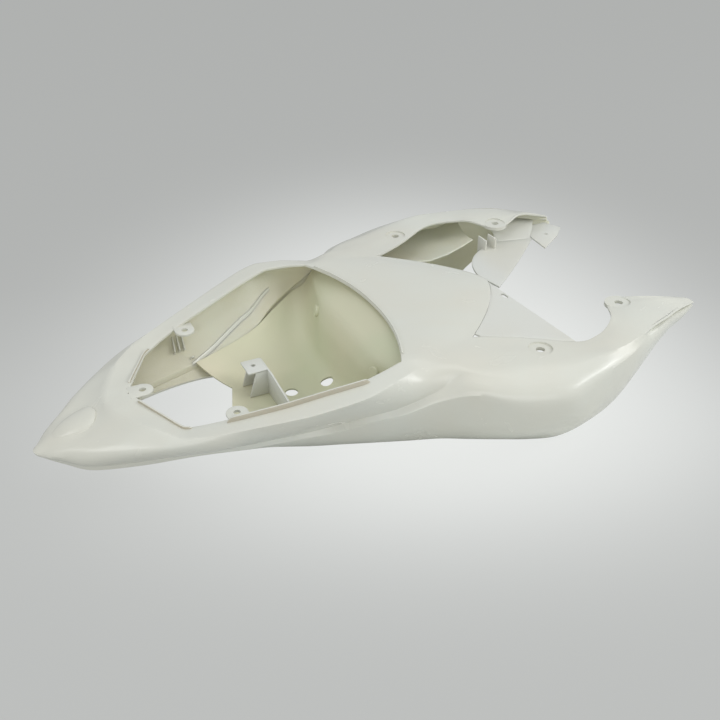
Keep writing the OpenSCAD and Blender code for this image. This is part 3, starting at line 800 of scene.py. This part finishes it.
# Right edge, foot and width of the fins
FIN_SPAN = [98, 48, 20]
TAB = [[734, 72], [738, 112], [764, 146], [786, 148], [799, 120], [776, 98]]
TAB_HOLE = [764, 110]
TAB_HOLE_WIDTH = 6
TAB_HEIGHT = 61


def arm_brace():
    foot, waist, ridge = [[np.array(p, float) for p in line]
                          for line in (BRACE_FOOT, BRACE_WAIST, BRACE_RIDGE)]
    steps = [n / BRACE_STEPS for n in range(BRACE_STEPS + 1)]
    slope = [[parabola(mix(*foot, t), mix(*waist, t), mix(*ridge, t), 2 * w) for w in steps]
             for t in steps]
    shelf = []
    for t in steps:
        a = mix(mix(*ridge, t), waist[0], SHELF_START) - [0, 0, BRACE_WALL / 4]
        b = inside_point(mix(*BRACE_RIBS, t), BRACE_AT, SEAT_GAP + BRACE_WALL * 0.5)
        shelf.append([mix(a, b, w) for w in steps])
    parts = [soften(sheet("plate", grid, BRACE_WALL), 0.6) for grid in (slope, shelf)]
    tab = prism("tab", [[x, y, TAB_HEIGHT - BRACE_WALL] for x, y in TAB], (0, 0, 1), BRACE_WALL)
    parts.append(drilled(tab, TAB_HOLE + [TAB_HEIGHT], TAB_HOLE_WIDTH, 10))
    y, z, width = FIN_SPAN
    for x in FINS:
        outline = [[x, y, z], [x, y + width, z], [x, y + width, z + FIN_HEIGHT],
                   [x, y, z + FIN_HEIGHT]]
        parts.append(prism("fin", outline, (1, 0, 0), BRACE_WALL))
    return finish_faces(join("brace_piece", parts))


LINER_RIBS = [14.2, 15, 16, 17, 18, 19]
LINER_EDGE = [[512, 118, 66], [538, 119, 60], [572, 122, 54], [602, 124, 57], [628, 128, 62],
              [650, 134, 66]]
LINER_AT = 4.35
LINER_WALL = 2
LINER_SAG = 6
LINER_STEPS = 10


def arm_liner():
    rows = []
    for u, edge in zip(LINER_RIBS, LINER_EDGE):
        a = inside_point(u, LINER_AT, SEAT_GAP + LINER_WALL * 0.4)
        b = np.array(edge, float)
        rows.append([mix(b, a, t / LINER_STEPS)
                     - [0, 0, LINER_SAG * math.sin(math.pi * t / LINER_STEPS)]
                     for t in range(LINER_STEPS + 1)])
    return finish_faces(soften(sheet("liner_sheet", rows, LINER_WALL), 0.6))


# Materials

GLOW_TINT = (1, 1, 0.85)
GLOW_DEPTH = 0.006
GRAIN_DEPTH = 0.0004
CLOUD_EDGES = [0.35, 0.75]
DULLNESS = [-0.07, 0.1]


def plastic(name, colour, aged_tone_and_painted_light, roughness, grain=0.15, cloud=7, glow=0):
    """Unpainted moulded plastic: cloudy colour, a faint grain and dull patches. Cloud is the scale
    of the clouds, and glow is how much light passes through. The second colour is an aged tone; in
    the inner, lip and tub materials both colours also carry painted shade and painted bounce light."""
    material = bpy.data.materials.new(name)
    material.use_nodes = True
    nodes, links = material.node_tree.nodes, material.node_tree.links
    shader = nodes["Principled BSDF"]
    place = nodes.new("ShaderNodeTexCoord").outputs["Object"]

    def noise(scale, detail, distortion=0.0):
        texture = nodes.new("ShaderNodeTexNoise")
        texture.inputs["Scale"].default_value = scale
        texture.inputs["Detail"].default_value = detail
        texture.inputs["Distortion"].default_value = distortion
        links.new(place, texture.inputs["Vector"])
        return texture.outputs["Fac"]

    ramp = nodes.new("ShaderNodeValToRGB")
    for stop, place_along, tone in zip(ramp.color_ramp.elements, CLOUD_EDGES, (colour, aged_tone_and_painted_light)):
        stop.position = place_along
        stop.color = (*tone, 1)
    links.new(noise(cloud, detail=4, distortion=0.4), ramp.inputs["Fac"])
    links.new(ramp.outputs["Color"], shader.inputs["Base Color"])
    dull = nodes.new("ShaderNodeMapRange")
    dull.inputs["To Min"].default_value = roughness + DULLNESS[0]
    dull.inputs["To Max"].default_value = roughness + DULLNESS[1]
    links.new(noise(26, detail=6, distortion=0.8), dull.inputs["Value"])
    links.new(dull.outputs["Result"], shader.inputs["Roughness"])
    bump = nodes.new("ShaderNodeBump")
    bump.inputs["Strength"].default_value = grain
    bump.inputs["Distance"].default_value = GRAIN_DEPTH
    links.new(noise(420, detail=3), bump.inputs["Height"])
    links.new(bump.outputs["Normal"], shader.inputs["Normal"])
    shader.inputs["Specular IOR Level"].default_value = 0.5
    if glow:
        shader.inputs["Subsurface Weight"].default_value = glow
        shader.inputs["Subsurface Radius"].default_value = GLOW_TINT
        shader.inputs["Subsurface Scale"].default_value = GLOW_DEPTH
    return material


# The floor's tone is painted light: a pool of light round the object, over a grey that is lighter
# on the near side than the far side.
FLOOR_TURN = 26.5
FLOOR_MIDDLE = (-0.079, -0.014, 0)
FLOOR_WIDTH = 0.416
FLOOR_REACH = [0.611, 0.271]
FLOOR_GREY = [0.513, 0.456]
FLOOR_TINT = (0.995, 1.015, 0.995)
FLOOR_BLEND = 0.3
FLOOR_PAINTED_POOL_RISE = 0.4
FLOOR_FALL = 2.76
FLOOR_GLOW = 0.9


def floor_material():
    """Pale floor with a painted pool of light: nearly white round the object, grey further out,
    with a soft shadow.
    """
    material = bpy.data.materials.new("floor")
    material.use_nodes = True
    nodes, links = material.node_tree.nodes, material.node_tree.links
    nodes.clear()

    def math_node(operation, a, b=0.0):
        node = nodes.new("ShaderNodeMath")
        node.operation = operation
        for socket, value in zip(node.inputs, (a, b)):
            if isinstance(value, (int, float)):
                socket.default_value = value
            else:
                links.new(value, socket)
        return node.outputs["Value"]

    place = nodes.new("ShaderNodeTexCoord").outputs["Object"]
    mapping = nodes.new("ShaderNodeMapping")
    mapping.inputs["Rotation"].default_value = (0, 0, math.radians(FLOOR_TURN))
    mapping.inputs["Location"].default_value = FLOOR_MIDDLE
    links.new(place, mapping.inputs["Vector"])
    axes = nodes.new("ShaderNodeSeparateXYZ")
    links.new(mapping.outputs["Vector"], axes.inputs["Vector"])
    across = math_node("DIVIDE", axes.outputs["X"], FLOOR_WIDTH)
    behind = math_node("DIVIDE", axes.outputs["Y"], FLOOR_REACH[0])
    before = math_node("DIVIDE", axes.outputs["Y"], -FLOOR_REACH[1])
    along = math_node("MAXIMUM", behind, before)
    distance = math_node("SQRT", math_node("ADD", math_node("MULTIPLY", across, across),
                                           math_node("MULTIPLY", along, along)))
    falloff = math_node("POWER", distance, FLOOR_FALL)
    fade = math_node("EXPONENT", math_node("MULTIPLY", falloff, -1.0))
    edge = nodes.new("ShaderNodeMapRange")
    edge.inputs["From Min"].default_value = -FLOOR_BLEND
    edge.inputs["From Max"].default_value = FLOOR_BLEND
    edge.inputs["To Min"].default_value = FLOOR_GREY[0]
    edge.inputs["To Max"].default_value = FLOOR_GREY[1]
    links.new(axes.outputs["Y"], edge.inputs["Value"])
    # Painted pool of light: the grey rises towards white near the object.
    level = math_node("ADD", edge.outputs["Result"], math_node("MULTIPLY", fade, FLOOR_PAINTED_POOL_RISE))
    tone = nodes.new("ShaderNodeCombineColor")
    for channel, factor in zip(("Red", "Green", "Blue"), FLOOR_TINT):
        links.new(math_node("MULTIPLY", level, factor), tone.inputs[channel])
    diffuse = nodes.new("ShaderNodeBsdfDiffuse")
    glow = nodes.new("ShaderNodeEmission")
    links.new(tone.outputs["Color"], diffuse.inputs["Color"])
    links.new(tone.outputs["Color"], glow.inputs["Color"])
    rays = nodes.new("ShaderNodeLightPath")
    blend = nodes.new("ShaderNodeMixShader")
    links.new(math_node("MULTIPLY", rays.outputs["Is Camera Ray"], FLOOR_GLOW), blend.inputs["Fac"])
    links.new(diffuse.outputs["BSDF"], blend.inputs[1])
    links.new(glow.outputs["Emission"], blend.inputs[2])
    output = nodes.new("ShaderNodeOutputMaterial")
    links.new(blend.outputs["Shader"], output.inputs["Surface"])
    return material


# Studio

FLOOR_SIZE = 8
FLOOR_LEVEL = -0.0005
# Name, place, target, size and power of each lamp
LAMPS = [
    ("key", (1.7, -0.9, 1.4), (0.1, 0, 0.05), (1.4, 1.0), 14),
    ("overhead", (0, 0.1, 1.9), (0, 0, 0), (2.0, 1.2), 6),
    ("fill", (-0.7, -1.9, 0.9), (0, 0, 0.05), (1.8, 1.0), 10),
    ("tail", (-1.3, 0.1, 1.0), (-0.3, 0, 0.05), (0.7, 0.5), 3),
    ("glint", (1.3, -1.1, 1.3), (0.2, -0.1, 0.05), (0.9, 0.12), 4)
]
WORLD_COLOUR = (0.93, 0.96, 1, 1)
WORLD_STRENGTH = 0.55
LENS = 42.5
SENSOR_WIDTH = 36
CAMERA_PLACE = (-0.4053, -0.8112, 0.6414)
CAMERA_RIGHT = (0.8947, -0.4466, 0)
CAMERA_UP = (0.2410, 0.4829, 0.8418)


def floor():
    size = FLOOR_SIZE
    mesh = bpy.data.meshes.new("floor")
    mesh.from_pydata([(-size, -size, 0), (size, -size, 0), (size, size, 0), (-size, size, 0)],
                     [], [(0, 1, 2, 3)])
    piece = bpy.data.objects.new("floor", mesh)
    piece.location.z = FLOOR_LEVEL
    bpy.context.scene.collection.objects.link(piece)
    mesh.materials.append(floor_material())


def lamp(name, at, target, size, power):
    light = bpy.data.lights.new(name, "AREA")
    light.shape = "RECTANGLE"
    light.size, light.size_y = size
    light.energy = power
    piece = bpy.data.objects.new(name, light)
    piece.location = at
    piece.rotation_euler = (Vector(target) - Vector(at)).to_track_quat("-Z", "Y").to_euler()
    bpy.context.scene.collection.objects.link(piece)


def studio():
    floor()
    for settings in LAMPS:
        lamp(*settings)
    world = bpy.data.worlds.new("studio")
    bpy.context.scene.world = world
    world.use_nodes = True
    background = world.node_tree.nodes["Background"]
    background.inputs["Color"].default_value = WORLD_COLOUR
    background.inputs["Strength"].default_value = WORLD_STRENGTH
    bpy.context.scene.view_settings.view_transform = "Standard"


def camera():
    view = bpy.data.cameras.new("camera")
    view.sensor_width = SENSOR_WIDTH
    view.lens = LENS
    piece = bpy.data.objects.new("camera", view)
    right, up = Vector(CAMERA_RIGHT), Vector(CAMERA_UP)
    turn = Matrix((right, up, right.cross(up))).transposed().to_4x4()
    piece.matrix_world = Matrix.Translation(CAMERA_PLACE) @ turn
    bpy.context.scene.collection.objects.link(piece)
    bpy.context.scene.camera = piece


IVORY = plastic("ivory_plastic", (0.67, 0.68, 0.61), (0.665, 0.65, 0.56), 0.23)
# Inner faces and the liner: a darker, warmer copy of the ivory, which is painted shade and painted
# bounce light; the subsurface glow lets real light through.
INNER_PAINTED_SHADE = plastic("inner_plastic_painted_shade", (0.62, 0.625, 0.52), (0.62, 0.585, 0.46), 0.42, grain=0.3,
                 glow=0.7)
# Darker brown for the lip's upright sides: painted shade.
LIP_SIDE_PAINTED_SHADE = plastic("lip_side_painted_shade", (0.54, 0.50, 0.40), (0.50, 0.46, 0.36), 0.4)
# Olive and warm tint of the tub: painted bounce light of the hollow; where each of the two tones
# shows is random.
TUB_PAINTED_BOUNCE = plastic("tub_plastic_painted_bounce", (0.60, 0.63, 0.44), (0.74, 0.66, 0.50), 0.4, grain=0.25, cloud=3.5)
BRIGHT = plastic("infill_plastic", (0.68, 0.69, 0.64), (0.66, 0.65, 0.57), 0.34)


def dress(piece, node, slot, *materials):
    for material in materials:
        piece.data.materials.append(material)
    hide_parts(node)
    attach(piece, "root")


dress(tail_cowl(), "tail_cowl", "cowl", IVORY, INNER_PAINTED_SHADE, LIP_SIDE_PAINTED_SHADE)
dress(seat_tub(), "seat_tub", "tub", TUB_PAINTED_BOUNCE)
dress(tub_bulkhead(), "tub_bulkhead", "tub", BRIGHT)
dress(infill_panel(), "infill_panel", "cowl", BRIGHT)
dress(arm_brace(), "arm_brace", "inner", BRIGHT)
dress(arm_liner(), "arm_liner", "inner", INNER_PAINTED_SHADE)
studio()
camera()
